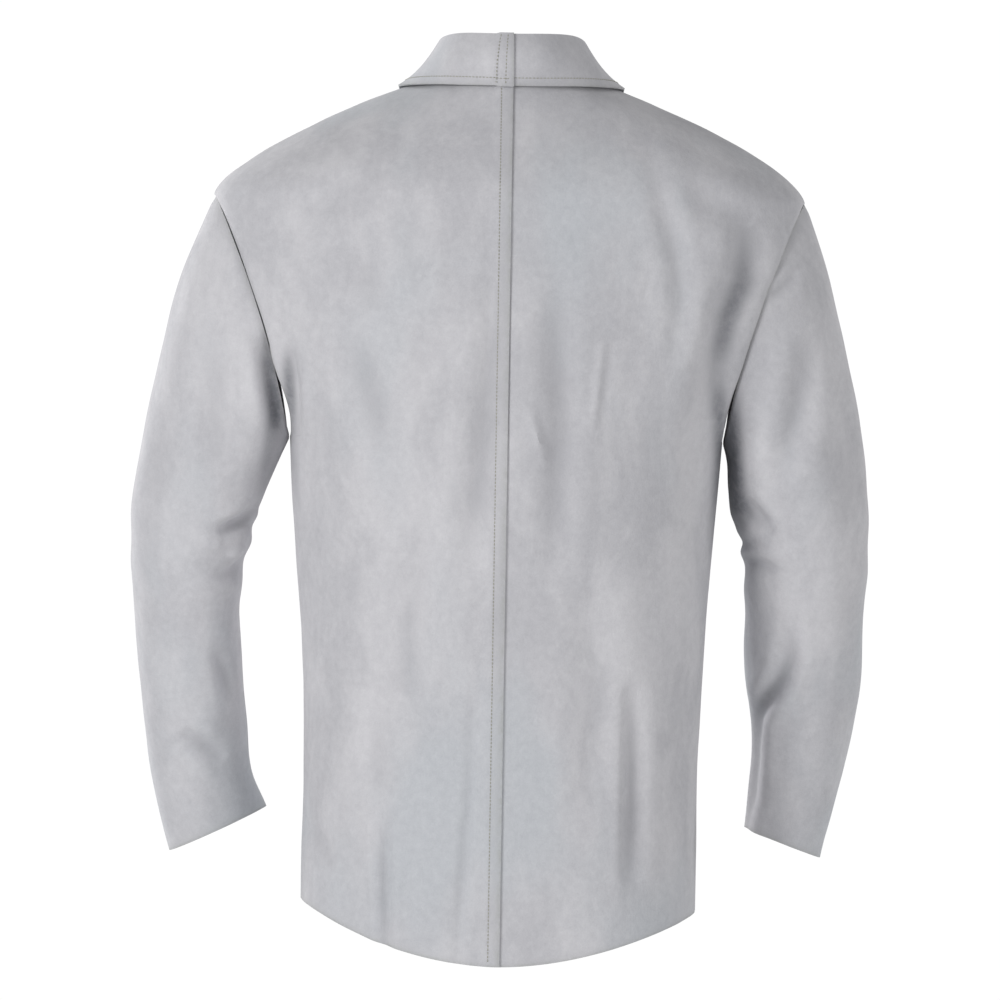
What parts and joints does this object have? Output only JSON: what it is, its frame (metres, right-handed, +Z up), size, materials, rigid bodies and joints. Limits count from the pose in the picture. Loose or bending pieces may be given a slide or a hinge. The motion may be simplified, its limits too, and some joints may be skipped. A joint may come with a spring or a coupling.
{
  "type": "leather welding jacket",
  "caption": "Plain split-leather welding jacket with a turn-down collar, a snapped lapped front, long one-piece sleeves and a curved hem.",
  "frame": {"origin": "under the middle of the jacket's box, level with the lowest point of the hem at the centre of the back", "axes": "+Z up, the front faces -Y, the wearer's left is +X"},
  "size_m": [0.6406, 0.2704, 0.7991],
  "materials": {
    "suede_outer": "pale grey split leather with a fine nap, cloudy and matt",
    "suede_inner": "flesh side of the same leather, rougher and a little darker",
    "tape": "woven herringbone tape",
    "label": "plain woven label with nothing on it",
    "snap_metal": "dull nickel plate"
  },
  "bodies": {
    "torso": {"back_panel_left": "suede_outer", "back_panel_right": "suede_outer", "front_side_left": "suede_outer", "front_side_right": "suede_outer", "collar_stand": "suede_inner", "collar_side_left": "suede_outer", "collar_side_right": "suede_outer", "neck_tape": "tape", "blank_label": "label", "hanger_loop": "tape", "inside_pocket": "suede_inner"},
    "left_front": {"front_flap_left": "suede_outer", "front_facing_left": "suede_inner", "collar_stand_front_left": "suede_inner", "collar_point_left": "suede_outer", "snap_cap_1": "snap_metal", "snap_cap_2": "snap_metal", "snap_cap_3": "snap_metal", "snap_cap_4": "snap_metal", "snap_cap_5": "snap_metal", "snap_socket_1": "snap_metal", "snap_socket_2": "snap_metal", "snap_socket_3": "snap_metal", "snap_socket_4": "snap_metal", "snap_socket_5": "snap_metal"},
    "right_front": {"front_flap_right": "suede_outer", "front_facing_right": "suede_inner", "collar_stand_front_right": "suede_inner", "collar_point_right": "suede_outer", "snap_stud_1": "snap_metal", "snap_stud_2": "snap_metal", "snap_stud_3": "snap_metal", "snap_stud_4": "snap_metal", "snap_stud_5": "snap_metal", "snap_post_1": "snap_metal", "snap_post_2": "snap_metal", "snap_post_3": "snap_metal", "snap_post_4": "snap_metal", "snap_post_5": "snap_metal"},
    "collar_fall": {"collar_fall_left": "suede_outer", "collar_fall_right": "suede_outer"},
    "left_upper_sleeve": {"sleeve_upper_left": "suede_outer", "sleeve_elbow_left": "suede_outer"},
    "left_forearm": {"sleeve_forearm_left": "suede_outer", "cuff_facing_left": "suede_inner"},
    "right_upper_sleeve": {"sleeve_upper_right": "suede_outer", "sleeve_elbow_right": "suede_outer"},
    "right_forearm": {"sleeve_forearm_right": "suede_outer", "cuff_facing_right": "suede_inner"}
  },
  "joints": [
    {"name": "left_front_opening", "type": "hinge", "parent": "torso", "child": "left_front", "pos_m": [0.11073, -0.1318, 0.00002], "axis": [-0.0921, 0, 0.9958], "range_deg": [0, 110], "deforming": ["collar_point_left"]},
    {"name": "right_front_opening", "type": "hinge", "parent": "torso", "child": "right_front", "pos_m": [-0.11927, -0.1318, 0.00002], "axis": [-0.0921, 0, -0.9958], "range_deg": [0, 27.5], "deforming": ["collar_point_right"]},
    {"name": "collar_turn_up", "type": "hinge", "parent": "torso", "child": "collar_fall", "pos_m": [-0.00427, 0.0692, 0.80102], "axis": [1, 0, 0], "range_deg": [0, 120]},
    {"name": "left_shoulder_lift", "type": "hinge", "parent": "torso", "child": "left_upper_sleeve", "pos_m": [0.25273, 0.0032, 0.66102], "axis": [0, -1, 0], "range_deg": [0, 60]},
    {"name": "right_shoulder_lift", "type": "hinge", "parent": "torso", "child": "right_upper_sleeve", "pos_m": [-0.26127, 0.0032, 0.66102], "axis": [0, 1, 0], "range_deg": [0, 60]},
    {"name": "left_elbow_bend", "type": "hinge", "parent": "left_upper_sleeve", "child": "left_forearm", "pos_m": [0.26973, -0.0268, 0.34502], "axis": [-1, 0, 0], "range_deg": [0, 70], "deforming": ["sleeve_elbow_left"]},
    {"name": "right_elbow_bend", "type": "hinge", "parent": "right_upper_sleeve", "child": "right_forearm", "pos_m": [-0.26577, -0.0268, 0.34502], "axis": [-1, 0, 0], "range_deg": [0, 70], "deforming": ["sleeve_elbow_right"]}
  ],
  "couplings": [
    {"joint": "right_front_opening", "follows": "left_front_opening", "ratio": 0.25}
  ]
}
